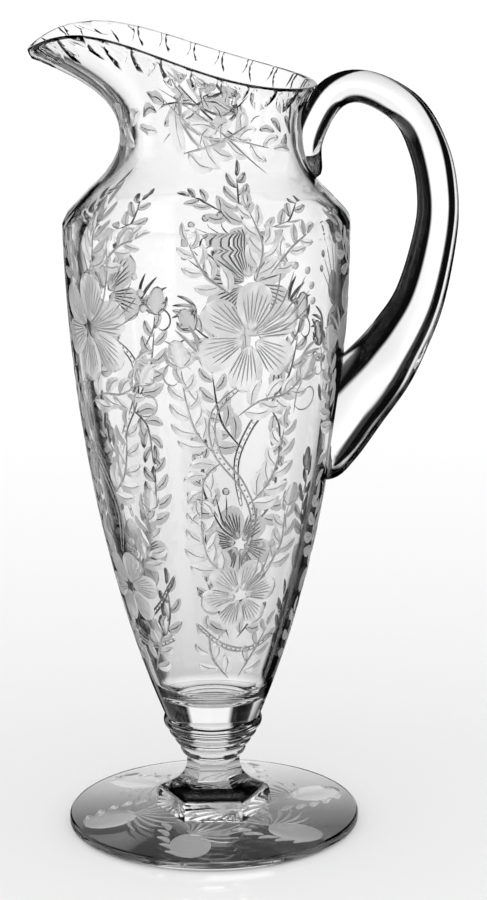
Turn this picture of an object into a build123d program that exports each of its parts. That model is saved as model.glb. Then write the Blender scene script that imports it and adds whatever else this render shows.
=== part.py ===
"""Footed cut-glass pitcher: a blown bowl with a drawn-out lip, an applied rod
handle, a ringed knop, a six-sided pedestal and a round foot, joined hot.

Millimetres. The origin is the centre of the foot's underside and +Z is up.
The lip points to -X and the handle to +X, so XZ is the mirror plane.
"""
from build123d import *
from math import comb, cos, pi, sin
import os

# Foot: a flat disc that thickens a little towards the middle
FOOT_RADIUS = 60.0
FOOT_RIM_THICKNESS = 4.0
FOOT_RISE = 1.6
FOOT_SEAT_MARGIN = 1.0
FOOT_EDGE_ROUND = 1.2

# Six-sided pedestal, radii to its corners
PEDESTAL_BASE_RADIUS = 23.8
PEDESTAL_FLANGE_RADIUS = 23.0
PEDESTAL_NECK_RADIUS = 10.8
PEDESTAL_WALL_HEIGHT = 7.6
PEDESTAL_FLARE_HEIGHT = 13.4
PEDESTAL_HOLLOW = 0.34

# Ringed knop: a stem, rings that widen upwards, and a collar under the bowl
STEM_RADIUS = 10.0
STEM_HEIGHT = 3.6
RING_COUNT = 3
RING_HEIGHT = 3.5
LOWEST_RING_RADIUS = 13.5
RING_STEP = 0.8
COLLAR_RADIUS = 20.3
COLLAR_HEIGHT = 5.3
SEAT_INSET = 0.7

# Bowl, outside: a tall body under a sloping shoulder and a narrow neck
BODY_RADIUS = 57.4
BODY_HEIGHT = 208.0
BODY_FOOT_SPREAD = 32.0
BODY_FOOT_RISE = 77.6
BODY_TOP_STRAIGHT = 38.0
SHOULDER_ROUND = 8.0
SHOULDER_INSET = 11.3
SHOULDER_HEIGHT = 12.0
NECK_HEIGHT = 21.0
NECK_RADIUS = 36.35
NECK_SHIFT = 2.55

# Mouth: the rim is low at the handle and rises in a crest before the lip
RIM_BACK_REACH = 44.6
LIP_REACH = 69.9
RIM_HALF_WIDTH = 41.0
RIM_SWELL = 0.30
RIM_CONTROL_HEIGHTS = (19.3, 23.6, 27.6, 56.4, 34.0)
MOUTH_FLARE_POWER = 2.3
LIP_UNDERCUT = 3.0
LIP_TIP_RADIUS = 24.0
MOUTH_OVERRUN = 12.0
MOUTH_LEVELS = 13
SECTION_POINTS = 24

# Bowl, glass thickness
WALL = 3.4
LIP_THICKNESS = 4.9
FLOOR_THICKNESS = 9.0
FLOOR_ROUND = 12.0

# Handle: thin where it is pressed on the neck, stout at its root on the body
GRIP_REACH = 91.8
CROWN_RISE = 17.7
LOWER_DROP = 67.0
ROOT_HEIGHT = 118.0
ROOT_DEPTH = 3.5
ROOT_ENTRY = 14.6
ROOT_ENTRY_RISE = 27.5
TAIL_THICKNESS = 12.8
TAIL_BREADTH = 15.0
CROWN_THICKNESS = 13.2
GRIP_THICKNESS = 16.6
LOWER_THICKNESS = 20.4
ROOT_THICKNESS = 32.0
ROOT_BREADTH = 24.0
ROOT_TIP_DROP = 7.6

# Heights of the joints, from the table up
pedestal_base = FOOT_RIM_THICKNESS + FOOT_RISE
flange_height = pedestal_base + PEDESTAL_WALL_HEIGHT
stem_base = flange_height + PEDESTAL_FLARE_HEIGHT
ring_base = stem_base + STEM_HEIGHT
collar_base = ring_base + RING_COUNT * RING_HEIGHT
bowl_base = collar_base + COLLAR_HEIGHT
shoulder_height = bowl_base + BODY_HEIGHT
throat_height = shoulder_height + SHOULDER_HEIGHT
neck_height = throat_height + NECK_HEIGHT
rim_heights = [neck_height + rise for rise in RIM_CONTROL_HEIGHTS]
bowl_seat_radius = COLLAR_RADIUS - SEAT_INSET
mouth_centre = (RIM_BACK_REACH - LIP_REACH) / 2
mouth_half_length = (RIM_BACK_REACH + LIP_REACH) / 2


def turned(outline):
    """A solid turned about Z from edges drawn in the XZ plane."""
    return revolve(make_face(outline), Axis.Z)


def foot():
    """Flat disc with a rounded rim and a flat seat for the pedestal."""
    seat_radius = PEDESTAL_BASE_RADIUS + FOOT_SEAT_MARGIN
    with BuildLine(Plane.XZ) as outline:
        Polyline((0, 0), (FOOT_RADIUS, 0), (FOOT_RADIUS, FOOT_RIM_THICKNESS),
                 (seat_radius, pedestal_base), (0, pedestal_base), close=True)
    disc = turned(outline.edges())
    rim = disc.edges().filter_by(GeomType.CIRCLE).filter_by(
        lambda edge: abs(edge.radius - FOOT_RADIUS) < 0.01)
    return fillet(rim, FOOT_EDGE_ROUND)


def pedestal():
    """Six side walls under six hollow facets that sweep up to a narrow neck."""
    flat = cos(pi / 6)
    base, flange, neck = (radius * flat for radius in
                          (PEDESTAL_BASE_RADIUS, PEDESTAL_FLANGE_RADIUS, PEDESTAL_NECK_RADIUS))
    hollow = (flange - neck) * PEDESTAL_HOLLOW
    with BuildLine(Plane.XZ) as outline:
        for side in (1, -1):
            Line((0, pedestal_base), (side * base, pedestal_base))
            Line((side * base, pedestal_base), (side * flange, flange_height))
            Bezier((side * flange, flange_height), (side * (neck + hollow), flange_height),
                   (side * neck, flange_height + hollow), (side * neck, stem_base))
            Line((side * neck, stem_base), (0, stem_base))
    across = extrude(make_face(outline.edges()), 2 * base, both=True)
    block = Rot(0, 0, 30) * across
    for turn in (90, 150):
        block = block & (Rot(0, 0, turn) * across)
    return block


def knop():
    """Stem, stepped rings and collar, turned in one piece."""
    ring_gain = (COLLAR_RADIUS - LOWEST_RING_RADIUS) / RING_COUNT
    radii = [LOWEST_RING_RADIUS + ring_gain * index for index in range(RING_COUNT + 1)]
    tops = [ring_base + RING_HEIGHT * (index + 1) for index in range(RING_COUNT)] + [bowl_base]
    with BuildLine(Plane.XZ) as outline:
        Line((0, stem_base), (STEM_RADIUS, stem_base))
        corner = (STEM_RADIUS, ring_base - STEM_HEIGHT / 2)
        Line((STEM_RADIUS, stem_base), corner)
        for radius, top in zip(radii, tops):
            bottom = corner[1]
            shelf = (radius - SEAT_INSET, top)
            ThreePointArc(corner, (radius, (bottom + 2 * top) / 3), shelf)
            corner = shelf
            if top < bowl_base:
                corner = (radius + ring_gain - RING_STEP * 2, top)
                Line(shelf, corner)
        Line(corner, (0, bowl_base))
        Line((0, bowl_base), (0, stem_base))
    return turned(outline.edges())


def body_controls(inset):
    """Control points of the body's side curve, drawn in by the inset."""
    return [(bowl_seat_radius - inset, bowl_base),
            (bowl_seat_radius + BODY_FOOT_SPREAD - inset, bowl_base + BODY_FOOT_RISE),
            (BODY_RADIUS - inset, shoulder_height - BODY_TOP_STRAIGHT),
            (BODY_RADIUS - inset, shoulder_height)]


def on_curve(controls, t):
    """A point on the Bezier curve of the control values, t from 0 to 1."""
    last = len(controls) - 1
    weights = [comb(last, k) * t**k * (1 - t) ** (last - k) for k in range(last + 1)]
    return sum(weight * value for weight, value in zip(weights, controls))


def body_radius(height):
    """Outside radius of the body at a height."""
    low, high = 0.0, 1.0
    radii, heights = zip(*body_controls(0))
    for _ in range(40):
        middle = (low + high) / 2
        if on_curve(heights, middle) < height:
            low = middle
        else:
            high = middle
    return on_curve(radii, low)


def throat_radius(inset):
    return BODY_RADIUS - SHOULDER_INSET - inset


def body_solid(inset, floor):
    """Body and shoulder as a filled solid, drawn in by the inset."""
    corner = (BODY_RADIUS - inset, shoulder_height)
    throat = (throat_radius(inset), throat_height)
    with BuildLine(Plane.XZ) as outline:
        Line((0, bowl_base), body_controls(inset)[0])
        Bezier(*body_controls(inset))
        Line(corner, throat)
        Line(throat, (0, throat_height))
        Line((0, throat_height), (0, bowl_base))
    section = make_face(outline.edges())
    shoulder = section.vertices().sort_by_distance(
        Plane.XZ.from_local_coords((corner[0], corner[1], 0)))[0]
    section = fillet(shoulder, SHOULDER_ROUND)
    if floor > 0:
        below = Plane.XZ * Pos(0, bowl_base) * Rectangle(4 * BODY_RADIUS, 2 * floor)
        section = section - below
        edge = section.vertices().sort_by(Axis.Z)[:2].sort_by(Axis.X)[-1]
        section = fillet(edge, FLOOR_ROUND)
    return revolve(section, Axis.Z)


def rim_height(x):
    """Height of the rim line over the mirror plane."""
    share = (RIM_BACK_REACH - x) / (2 * mouth_half_length)
    return on_curve(rim_heights, min(max(share, 0.0), 1.0))


def mouth_point(angle, height, inset, lip_inset):
    """A point of the neck's or mouth's wall at an angle round the neck."""
    turn = cos(angle)
    radius = NECK_RADIUS - inset
    if height <= neck_height:
        drop = (neck_height - height) / NECK_HEIGHT
        radius += drop**2 * (throat_radius(0) - NECK_RADIUS)
        shift = NECK_SHIFT * (1 - drop**2)
        return (shift + radius * turn, radius * sin(angle), height)
    towards_lip = (1 - turn) / 2
    rim_inset = inset + (lip_inset - inset) * towards_lip**4
    rim_x = mouth_centre + (mouth_half_length - rim_inset) * turn
    rim_y = (RIM_HALF_WIDTH - inset) * sin(angle) * (1 + RIM_SWELL * turn)
    undercut = LIP_UNDERCUT * towards_lip**8 if inset == 0 else 0
    top = rim_height(mouth_centre + mouth_half_length * turn) - undercut
    share = (height - neck_height) / (top - neck_height)
    if share < 1:
        flare = share**MOUTH_FLARE_POWER
    else:
        flare = 1 + MOUTH_FLARE_POWER * (share - 1)
    neck_x = NECK_SHIFT + radius * turn
    neck_y = radius * sin(angle)
    return (neck_x + (rim_x - neck_x) * flare, neck_y + (rim_y - neck_y) * flare, height)


def mouth_solid(inset, lip_inset):
    """Neck and mouth, drawn through level sections to above the rim."""
    top = max(rim_height(mouth_centre - mouth_half_length * k / 10) for k in range(11))
    span = top + MOUTH_OVERRUN - throat_height
    sections = [Plane.XY.offset(throat_height) * Circle(throat_radius(inset))]
    for level in range(1, MOUTH_LEVELS):
        height = throat_height + span * level / (MOUTH_LEVELS - 1)
        ring = [mouth_point(2 * pi * k / SECTION_POINTS, height, inset, lip_inset)
                for k in range(SECTION_POINTS)]
        sections.append(make_face(Spline(*ring, periodic=True)))
    return loft(sections)


def above_rim():
    """What the shears take away: all over the rim line and beyond the lip."""
    steps = 24
    reach = 3 * mouth_half_length
    line = [(RIM_BACK_REACH - 2 * mouth_half_length * k / steps) for k in range(steps + 1)]
    points = [(x, rim_height(x)) for x in line]
    low_lip = (-reach, points[-1][1])
    with BuildLine(Plane.XZ) as outline:
        Spline(*points)
        Polyline(points[-1], low_lip, (-reach, neck_height + reach),
                 (reach, neck_height + reach), (reach, points[0][1]), points[0])
    return extrude(make_face(outline.edges()), reach, both=True)


def beyond_lip():
    """The waste outside the rounded end of the lip."""
    end = -LIP_REACH + LIP_TIP_RADIUS
    height = 4 * NECK_HEIGHT
    block = Pos(end - LIP_REACH, 0, neck_height) * Box(2 * LIP_REACH, 4 * LIP_REACH, height,
                                                      align=(Align.CENTER, Align.CENTER, Align.MIN))
    post = Pos(end, 0, neck_height) * Cylinder(LIP_TIP_RADIUS, height,
                                               align=(Align.CENTER, Align.CENTER, Align.MIN))
    return block - post


def bowl_form():
    """The bowl's outer form as a filled solid, sheared to the rim line."""
    return body_solid(0, 0) + mouth_solid(0, 0) - above_rim() - beyond_lip()


def bowl(form):
    """Blown wall: the outer form less the hollow."""
    return form - (body_solid(WALL, FLOOR_THICKNESS) + mouth_solid(WALL, LIP_THICKNESS))


def handle_stations():
    """Centre, thickness and breadth of the rod from its tail to its root."""
    neck_x = NECK_SHIFT + NECK_RADIUS
    root_z = bowl_base + ROOT_HEIGHT
    root_x = body_radius(root_z) - ROOT_DEPTH
    entry_z = root_z + ROOT_ENTRY_RISE
    entry_x = body_radius(entry_z) + ROOT_ENTRY

    def out(share):
        return neck_x + share * (GRIP_REACH - neck_x)

    def over(share):
        return neck_height + share * CROWN_RISE

    def under(share):
        return neck_height - share * LOWER_DROP

    def blend(start, end, share):
        return start + share * (end - start)

    lower_x = out(0.865)
    return [
        (out(0.03), under(0.275), TAIL_THICKNESS, TAIL_BREADTH),
        (out(0.022), under(0.045), TAIL_THICKNESS, TAIL_BREADTH),
        (out(0.193), over(0.80), CROWN_THICKNESS, CROWN_THICKNESS),
        (out(0.45), over(1.0), CROWN_THICKNESS, CROWN_THICKNESS),
        (out(0.77), over(0.47), blend(CROWN_THICKNESS, GRIP_THICKNESS, 0.35), CROWN_THICKNESS),
        (out(0.94), under(0.13), blend(CROWN_THICKNESS, GRIP_THICKNESS, 0.8), GRIP_THICKNESS),
        (out(1.0), under(0.40), GRIP_THICKNESS, GRIP_THICKNESS),
        (out(0.975), under(0.65), blend(GRIP_THICKNESS, LOWER_THICKNESS, 0.3), GRIP_THICKNESS),
        (lower_x, under(1.0), LOWER_THICKNESS, blend(GRIP_THICKNESS, ROOT_BREADTH, 0.3)),
        (blend(lower_x, entry_x, 0.5), blend(under(1.0), entry_z, 0.57),
         blend(LOWER_THICKNESS, ROOT_THICKNESS, 0.35), blend(GRIP_THICKNESS, ROOT_BREADTH, 0.6)),
        (entry_x, entry_z, blend(LOWER_THICKNESS, ROOT_THICKNESS, 0.7), ROOT_BREADTH),
        (blend(entry_x, root_x, 0.55), blend(entry_z, root_z, 0.5), ROOT_THICKNESS, ROOT_BREADTH),
        (root_x, root_z, ROOT_THICKNESS, ROOT_BREADTH),
        (root_x - 0.57 * ROOT_TIP_DROP, root_z - ROOT_TIP_DROP,
         0.88 * ROOT_THICKNESS, 0.92 * ROOT_BREADTH),
        (root_x - 1.1 * ROOT_TIP_DROP, root_z - 1.5 * ROOT_TIP_DROP,
         0.56 * ROOT_THICKNESS, 0.6 * ROOT_BREADTH),
    ]


def handle(form):
    """Round rod drawn in a loop, cut to sit on the neck and the body."""
    stations = handle_stations()
    sections = []
    for index, (x, z, thickness, breadth) in enumerate(stations):
        ahead = stations[min(index + 1, len(stations) - 1)]
        behind = stations[max(index - 1, 0)]
        run = Vector(ahead[0] - behind[0], 0, ahead[1] - behind[1])
        plane = Plane((x, 0, z), x_dir=(0, 1, 0), z_dir=run)
        sections.append(plane * Ellipse(breadth / 2, thickness / 2))
    return loft(sections) - form


glass_form = bowl_form()
parts = {
    "foot": foot(),
    "hexagonal_pedestal": pedestal(),
    "ringed_knop": knop(),
    "bowl": bowl(glass_form),
    "handle": handle(glass_form),
}

os.makedirs("parts", exist_ok=True)
for name, solid in parts.items():
    export_step(solid, f"parts/{name}.step")
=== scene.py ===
import bpy
from math import atan, atan2, comb, cos, hypot, pi, radians, sin, sqrt, tan
from mathutils import Matrix, Vector
from mathutils.geometry import delaunay_2d_cdt


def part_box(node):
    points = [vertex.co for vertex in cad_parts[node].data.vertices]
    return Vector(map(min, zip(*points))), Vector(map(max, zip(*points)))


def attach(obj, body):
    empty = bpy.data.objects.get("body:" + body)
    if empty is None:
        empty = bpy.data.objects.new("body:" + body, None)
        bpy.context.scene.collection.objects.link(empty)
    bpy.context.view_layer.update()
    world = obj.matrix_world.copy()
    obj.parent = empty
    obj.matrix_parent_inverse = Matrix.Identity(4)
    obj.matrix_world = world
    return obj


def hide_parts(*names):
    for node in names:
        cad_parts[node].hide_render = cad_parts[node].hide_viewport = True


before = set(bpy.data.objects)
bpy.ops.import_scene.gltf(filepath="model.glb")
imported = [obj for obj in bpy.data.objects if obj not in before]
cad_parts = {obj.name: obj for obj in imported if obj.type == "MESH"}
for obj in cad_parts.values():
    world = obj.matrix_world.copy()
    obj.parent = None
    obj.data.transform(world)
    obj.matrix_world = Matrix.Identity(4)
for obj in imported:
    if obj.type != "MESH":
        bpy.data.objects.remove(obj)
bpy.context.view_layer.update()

MM = 0.001
bpy.ops.object.select_all(action="DESELECT")

# Foot: a round disc of clear lead glass, ground flat underneath and cut on its upper face with
# olive-shaped hollows, each with a fan of fine curved lines and small leaves. It is joined hot
# to the pedestal that stands on it.

FOOT_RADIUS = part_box("foot")[1].x / MM
FOOT_SEAT_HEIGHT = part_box("foot")[1].z / MM
FOOT_RIM_HEIGHT = 4.0
FOOT_EDGE_ROUND = 1.2
PEDESTAL_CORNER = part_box("hexagonal_pedestal")[1].x / MM
SEAT_RADIUS = PEDESTAL_CORNER + 1.0
FOOT_COLUMNS = 180
FOOT_EDGE_STEPS = 6
LEAD_GLASS_IOR = 1.54


def join(tree, node, inputs):
    """Each input, by its name or number, takes a constant or another node's output."""
    for key, value in inputs.items():
        if isinstance(value, bpy.types.NodeSocket):
            tree.links.new(value, node.inputs[key])
        else:
            node.inputs[key].default_value = value


def add(tree, kind, inputs, **settings):
    """A shader node with its inputs and settings."""
    node = tree.nodes.new(kind)
    for name, value in settings.items():
        setattr(node, name, value)
    join(tree, node, inputs)
    return node


def grey_ramp(tree, value, stops):
    """Greys that run through the stops, each a place and a shade."""
    node = add(tree, "ShaderNodeValToRGB", {"Fac": value})
    for element, (stop, shade) in zip(node.color_ramp.elements, (stops[0], stops[-1])):
        element.position = stop
        element.color = (shade, shade, shade, 1)
    for stop, shade in stops[1:-1]:
        node.color_ramp.elements.new(stop).color = (shade, shade, shade, 1)
    return node.outputs["Color"]


def glass(name, edge, roughness=0.0, clear=1.0):
    """Clear glass whose colour is darkened where it is seen edge on, a painted edge shade."""
    material = bpy.data.materials.new(name)
    material.use_nodes = True
    tree = material.node_tree
    facing = add(tree, "ShaderNodeLayerWeight", {"Blend": 0.5})
    # painted edge shade: the base colour turns darker as the surface is seen more edge on
    painted_edge_shade = grey_ramp(tree, facing.outputs["Facing"], [(0.55, 1.0), (1.0, 1 - edge)])
    join(tree, tree.nodes["Principled BSDF"], {
        "Base Color": painted_edge_shade, "Transmission Weight": clear, "IOR": LEAD_GLASS_IOR,
        "Roughness": roughness})
    return material


def fused(name):
    """Where two pieces were joined hot there is no surface left, so nothing shows."""
    material = bpy.data.materials.new(name)
    material.use_nodes = True
    tree = material.node_tree
    tree.nodes.remove(tree.nodes["Principled BSDF"])
    nothing = add(tree, "ShaderNodeBsdfTransparent", {})
    join(tree, tree.nodes["Material Output"], {"Surface": nothing.outputs[0]})
    return material


# each glass has painted edge shade; edge is how far its colour darkens where it is seen edge on
CLEAR = glass("polished_lead_glass", edge=0.75)
SATIN = glass("satin_cut_glass", edge=0.3, roughness=0.22, clear=0.62)
FUSED = fused("fused_joint")
CLEAR_SLOT, SATIN_SLOT, FUSED_SLOT = 0, 1, 2


def make_piece(name, points, faces, slots=None, normals=None):
    """A mesh object from points in millimetres; slots gives each face's material."""
    mesh = bpy.data.meshes.new(name)
    mesh.from_pydata([Vector(p) * MM for p in points], [], faces)
    for material in (CLEAR, SATIN, FUSED):
        mesh.materials.append(material)
    if slots:
        mesh.polygons.foreach_set("material_index", slots)
    mesh.polygons.foreach_set("use_smooth", [True] * len(faces))
    mesh.update()
    if normals:
        mesh.normals_split_custom_set(normals)
    piece = bpy.data.objects.new(name, mesh)
    bpy.context.collection.objects.link(piece)
    return piece


def band(upper, lower):
    """Quads between two closed rows of points."""
    after = upper[1:] + upper[:1]
    below = lower[1:] + lower[:1]
    return [list(face) for face in zip(upper, after, below, lower)]


def fan(row, centre):
    """Triangles from a closed row of points to a centre."""
    return [[a, b, centre] for a, b in zip(row, row[1:] + row[:1])]


def along(knots, place):
    """Values at a place along the knots, on a smooth curve through them."""
    span = min(int(place), len(knots) - 2)
    t = place - span
    pick = [knots[min(max(span + k, 0), len(knots) - 1)] for k in (-1, 0, 1, 2)]
    return [0.5 * (2 * b + (c - a) * t + (2 * a - 5 * b + 4 * c - d) * t**2
                   + (3 * b - a - 3 * c + d) * t**3) for a, b, c, d in zip(*pick)]


def wheel_cut(knots, width, depth, steps=8, shape=0.7, lean=1.0, hollow=False, satin=True):
    """A cut of the engraver's wheel along a smooth line, pointed where it enters and leaves.

    It is a V-shaped groove or, where it is hollow, a rounded one. A lean under 1 makes it
    widest near its start, and over 1 near its end.
    """
    last = len(knots) - 1
    centre = [tuple(along(knots, last * k / steps)) for k in range(steps + 1)]
    halves = [width / 2 * sin(pi * (k / steps) ** lean) ** shape for k in range(steps)] + [0.0]
    halves[0] = 0.0
    return {"centre": centre, "halves": halves, "depth": depth, "hollow": hollow, "satin": satin}


def cut_side(cut, share):
    """The line that runs along a cut at a share of its half width, to the left where positive."""
    centre, line = cut["centre"], []
    for k, (x, y) in enumerate(centre):
        ahead = centre[min(k + 1, len(centre) - 1)]
        behind = centre[max(k - 1, 0)]
        dx, dy = ahead[0] - behind[0], ahead[1] - behind[1]
        out = cut["halves"][k] * share / (hypot(dx, dy) or 1.0)
        line.append((x - dy * out, y + dx * out))
    return line


def cut_depth(cut, x, y):
    """Depth of a cut at a point of the plane."""
    best = 1.0
    centre, halves = cut["centre"], cut["halves"]
    for k in range(len(centre) - 1):
        (ax, ay), (bx, by) = centre[k], centre[k + 1]
        dx, dy = bx - ax, by - ay
        share = min(max(((x - ax) * dx + (y - ay) * dy) / (dx * dx + dy * dy), 0), 1)
        half = halves[k] + (halves[k + 1] - halves[k]) * share
        if half > 0.01:
            best = min(best, hypot(x - ax - dx * share, y - ay - dy * share) / half)
    return cut["depth"] * (1 - best**2 if cut["hollow"] else 1 - best)


def inside_loop(x, y, loop):
    """Whether a point lies inside a closed line."""
    inside = False
    for (ax, ay), (bx, by) in zip(loop, loop[1:] + loop[:1]):
        if (ay > y) != (by > y) and x < ax + (y - ay) * (bx - ax) / (by - ay):
            inside = not inside
    return inside


def carved_sheet(border, loops, loose, cuts, to_plane):
    """Triangles over a plane region, with each cut's outline and centre line as edges.

    Gives the points, the faces and, for each face, the numbers of the loops and cuts it lies
    in, the loops first.
    """
    points, edges, regions = [], [], []

    def chain(line, closed):
        first = len(points)
        points.extend(Vector(p) for p in line)
        edges.extend((first + k, first + k + 1) for k in range(len(line) - 1))
        if closed:
            edges.append((first + len(line) - 1, first))

    chain(border, True)
    for loop in loops:
        regions.append([tuple(p) for p in loop])
    for cut in cuts:
        outline = cut_side(cut, 1) + cut_side(cut, -1)[-2:0:-1]
        regions.append([to_plane(cut, p) for p in outline])
        for share in ((-0.6, 0, 0.6) if cut["hollow"] else (0,)):
            chain([to_plane(cut, p) for p in cut_side(cut, share)[1:-1]], False)
    for region in regions:
        chain(region, True)
    points.extend(Vector(p) for p in loose)
    out = delaunay_2d_cdt(points, edges, [], 0, 1e-4)
    flat, faces = out[0], [list(face) for face in out[2]]
    # the faces are sorted into square cells, so that each outline is tested against few
    cell = 4.0
    grid = {}
    for k, face in enumerate(faces):
        x, y = (flat[face[0]] + flat[face[1]] + flat[face[2]]) / 3
        grid.setdefault((int(x // cell), int(y // cell)), []).append((k, x, y))
    over = [set() for _ in faces]
    for index, loop in enumerate(regions):
        xs, ys = zip(*loop)
        for i in range(int(min(xs) // cell), int(max(xs) // cell) + 1):
            for j in range(int(min(ys) // cell), int(max(ys) // cell) + 1):
                for k, x, y in grid.get((i, j), ()):
                    if inside_loop(x, y, loop):
                        over[k].add(index)
    return flat, faces, over


def inner_strokes(count, faces, over, first):
    """For each point, the cuts that every face round it lies in."""
    inside = [None] * count
    for face, strokes in zip(faces, over):
        for corner in face:
            if inside[corner] is None:
                inside[corner] = set(strokes)
            else:
                inside[corner] &= strokes
    return [{k - first for k in strokes if k >= first} if strokes else set() for strokes in inside]


def foot_top(radius):
    """Height of the foot's upper face before it is cut."""
    slope = (FOOT_SEAT_HEIGHT - FOOT_RIM_HEIGHT) / (FOOT_RADIUS - SEAT_RADIUS)
    return min(FOOT_SEAT_HEIGHT, FOOT_SEAT_HEIGHT - (radius - SEAT_RADIUS) * slope)


def ring(radius, count, turn=0.0):
    """Points at even steps round a circle."""
    return [(radius * cos(turn + 2 * pi * k / count), radius * sin(turn + 2 * pi * k / count))
            for k in range(count)]


def make_foot(cuts):
    """The whole disc: its carved top, rounded rim and flat underside."""
    rim = FOOT_RADIUS - FOOT_EDGE_ROUND
    border = ring(rim, FOOT_COLUMNS)
    hexagon = ring(PEDESTAL_CORNER, 6)
    loose = [p for r in range(4, 58, 4) for p in ring(r, max(6, int(2 * pi * r / 4)), r)]
    flat, faces, over = carved_sheet(border, [hexagon], loose, cuts, lambda cut, p: p)
    inside = inner_strokes(len(flat), faces, over, 1)
    points, slots, normals = [], [], []
    for (x, y), strokes in zip(flat, inside):
        depth = max((cut_depth(cuts[k], x, y) for k in strokes), default=0.0)
        points.append((x, y, foot_top(hypot(x, y)) - max(depth, 0.0)))
    slope = atan((FOOT_SEAT_HEIGHT - FOOT_RIM_HEIGHT) / (FOOT_RADIUS - SEAT_RADIUS))
    for face, strokes in zip(faces, over):
        slots.append(FUSED_SLOT if 0 in strokes else SATIN_SLOT if strokes else CLEAR_SLOT)
        a, b, c = (Vector(points[k]) for k in face)
        facet = (b - a).cross(c - a).normalized()
        for k in face:
            x, y, _ = points[k]
            r = hypot(x, y)
            if strokes and 0 not in strokes:
                normals.append(facet)
            elif r < SEAT_RADIUS:
                normals.append(Vector((0, 0, 1)))
            else:
                normals.append(Vector((x / r * sin(slope), y / r * sin(slope), cos(slope))))
    # the rounded rim, as a row of points at each radius, height and turn of its normal
    outline = []
    for k in range(1, FOOT_EDGE_STEPS + 1):
        turn = pi / 2 * (1 - k / FOOT_EDGE_STEPS)
        height = foot_top(rim) - FOOT_EDGE_ROUND * (1 - sin(turn))
        outline.append((rim + FOOT_EDGE_ROUND * cos(turn), height, turn))
    for k in range(FOOT_EDGE_STEPS + 1):
        turn = -pi / 2 * k / FOOT_EDGE_STEPS
        outline.append((rim + FOOT_EDGE_ROUND * cos(turn), FOOT_EDGE_ROUND * (1 + sin(turn)), turn))
    turns = [pi / 2] + [turn for _, _, turn in outline]
    index = {(round(x, 3), round(y, 3)): k for k, (x, y) in enumerate(flat)}
    rows = [[index[(round(x, 3), round(y, 3))] for x, y in border]]
    for r, z, _ in outline:
        rows.append(list(range(len(points), len(points) + FOOT_COLUMNS)))
        points.extend((r * x / rim, r * y / rim, z) for x, y in border)
    first = len(faces)
    for level, (upper, lower) in enumerate(zip(rows, rows[1:])):
        faces += band(lower, upper)
        for k in range(FOOT_COLUMNS):
            n = (k + 1) % FOOT_COLUMNS
            for column, turn in ((k, turns[level + 1]), (n, turns[level + 1]),
                                 (n, turns[level]), (k, turns[level])):
                x, y = border[column]
                normals.append(Vector((x / rim * cos(turn), y / rim * cos(turn), sin(turn))))
    # the underside
    faces += fan(rows[-1][::-1], len(points))
    points.append((0, 0, 0))
    normals += [Vector((0, 0, -1))] * (3 * FOOT_COLUMNS)
    slots += [CLEAR_SLOT] * (len(faces) - first)
    return make_piece("engraved_foot", points, faces, slots, normals)


OLIVE_COUNT = 6
OLIVE_RADIUS = 45.0
OLIVE_LENGTH = 24.0
OLIVE_WIDTH = 17.0
FAN_LINES = 9
FAN_REACH = 21.0
FOOT_LEAVES = 5


def placed(knots, x, y, turn):
    """Knots turned and moved to their place in the plane."""
    c, s = cos(turn), sin(turn)
    return [(x + c * p - s * q, y + s * p + c * q) for p, q in knots]


def foot_cuts():
    """An olive-shaped hollow, a fan of fine lines and a row of leaves, repeated round the foot."""
    cuts = []
    for k in range(OLIVE_COUNT):
        turn = radians(18) + 2 * pi * k / OLIVE_COUNT
        at = (OLIVE_RADIUS * cos(turn), OLIVE_RADIUS * sin(turn), turn + radians(14))
        half = OLIVE_LENGTH / 2
        cuts.append(wheel_cut(placed([(-half, 0), (0, 0), (half, 0)], *at), OLIVE_WIDTH, 0.7,
                              steps=12, shape=0.62, hollow=True))
        start = placed([(-half + 0.8, 0)], *at)[0]
        for j in range(FAN_LINES):
            swing = at[2] + radians(38 + 17 * j)
            reach = FAN_REACH - 1.1 * abs(j - 3)
            knots = [(0, 0), (reach * 0.4, reach * 0.06), (reach * 0.75, reach * 0.2),
                     (reach, reach * 0.44)]
            cuts.append(wheel_cut(placed(knots, *start, swing), 1.5, 0.45, steps=10, lean=1.2))
        for j in range(FOOT_LEAVES):
            swing = turn + radians(26 + 6 * j)
            r = 30.0 + 5.6 * j
            knots = placed([(0, 0), (4.0, 1.2), (8.5, 0)], r * cos(swing), r * sin(swing),
                           swing + radians(70))
            cuts.append(wheel_cut(knots, 3.2, 0.45))
    return cuts


foot = make_foot(foot_cuts())
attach(foot, "root")
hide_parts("foot")

# Pedestal: a six-sided block of clear glass with a hollow facet ground down each side, so that
# six crisp ridges run from its narrow neck out to the corners of its flange. It stands on the
# foot and carries the knop's stem.

PEDESTAL_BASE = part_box("hexagonal_pedestal")[0].z / MM
PEDESTAL_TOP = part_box("hexagonal_pedestal")[1].z / MM
FLANGE_CORNER = 23.0
FLANGE_HEIGHT = PEDESTAL_BASE + 7.6
PEDESTAL_NECK = 10.8
PEDESTAL_HOLLOW = 0.34
FACET_STEPS = 16


def bezier(controls, t):
    """A value on the Bezier curve of the control values, t from 0 to 1."""
    last = len(controls) - 1
    return sum(comb(last, k) * t**k * (1 - t) ** (last - k) * value
               for k, value in enumerate(controls))


def face_outward(piece):
    """Turns every face of a closed piece outward."""
    bpy.ops.object.select_all(action="DESELECT")
    piece.select_set(True)
    bpy.context.view_layer.objects.active = piece
    bpy.ops.object.mode_set(mode="EDIT")
    bpy.ops.mesh.select_all(action="SELECT")
    bpy.ops.mesh.normals_make_consistent(inside=False)
    bpy.ops.object.mode_set(mode="OBJECT")


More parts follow.
